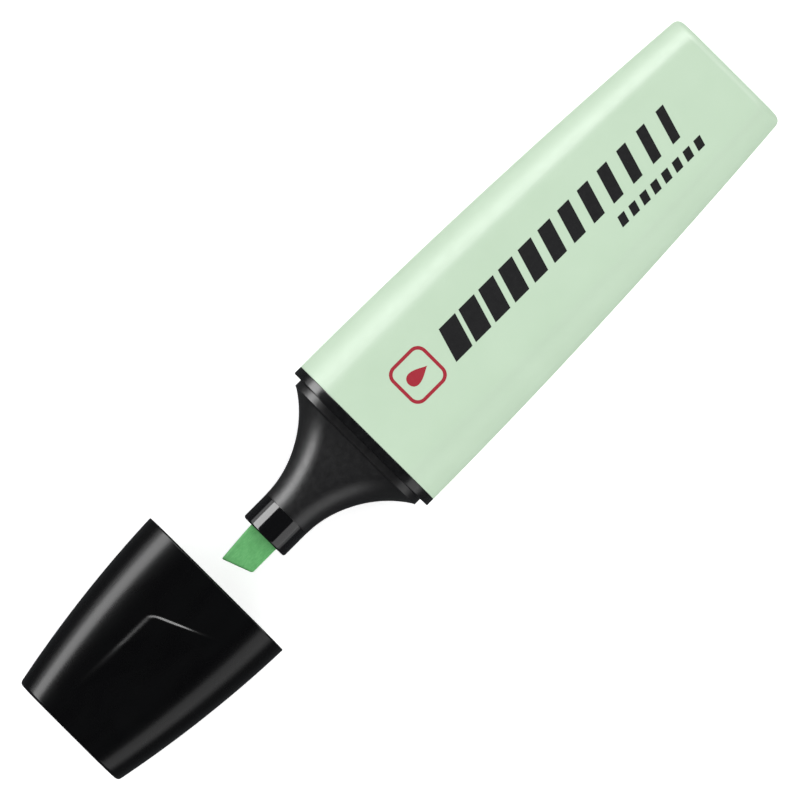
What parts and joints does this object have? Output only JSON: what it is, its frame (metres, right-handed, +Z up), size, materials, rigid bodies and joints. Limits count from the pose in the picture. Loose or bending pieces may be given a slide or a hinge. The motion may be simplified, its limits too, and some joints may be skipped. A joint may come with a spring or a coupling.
{
  "type": "highlighter pen",
  "caption": "Flat pastel green highlighter with a slanted chisel nib in a black flared front section and a glossy black push-on cap pulled off in front of it.",
  "frame": {"origin": "middle of the footprint with the cap pulled off, on the plane that the thickest point rests on", "axes": "+X along the pen from the nib towards the tail, +Y across its width towards the nib's long corner, +Z up out of its wide face"},
  "size_m": [0.1344, 0.027, 0.017],
  "materials": {
    "barrel_plastic": "satin pastel green moulded plastic",
    "section_plastic": "satin black moulded plastic, glossy on the nozzle",
    "nib_felt": "pressed fibre soaked in green ink",
    "reservoir_fibre": "bonded fibre soaked in green ink",
    "wrap_film": "thin clear film",
    "cap_plastic": "polished black moulded plastic",
    "seal_plastic": "soft black moulded plastic",
    "print_black": "pad-printed black ink",
    "print_red": "pad-printed red ink"
  },
  "bodies": {
    "pen": {"barrel": "barrel_plastic", "front_section": "section_plastic", "chisel_nib": "nib_felt", "ink_reservoir": "reservoir_fibre", "reservoir_wrap": "wrap_film"},
    "cap": {"cap_shell": "cap_plastic", "cap_inner_seal": "seal_plastic"}
  },
  "joints": [
    {"name": "cap_pull", "type": "slide", "parent": "pen", "child": "cap", "axis": [1, 0, 0], "range_m": [0, 0.0292]}
  ]
}
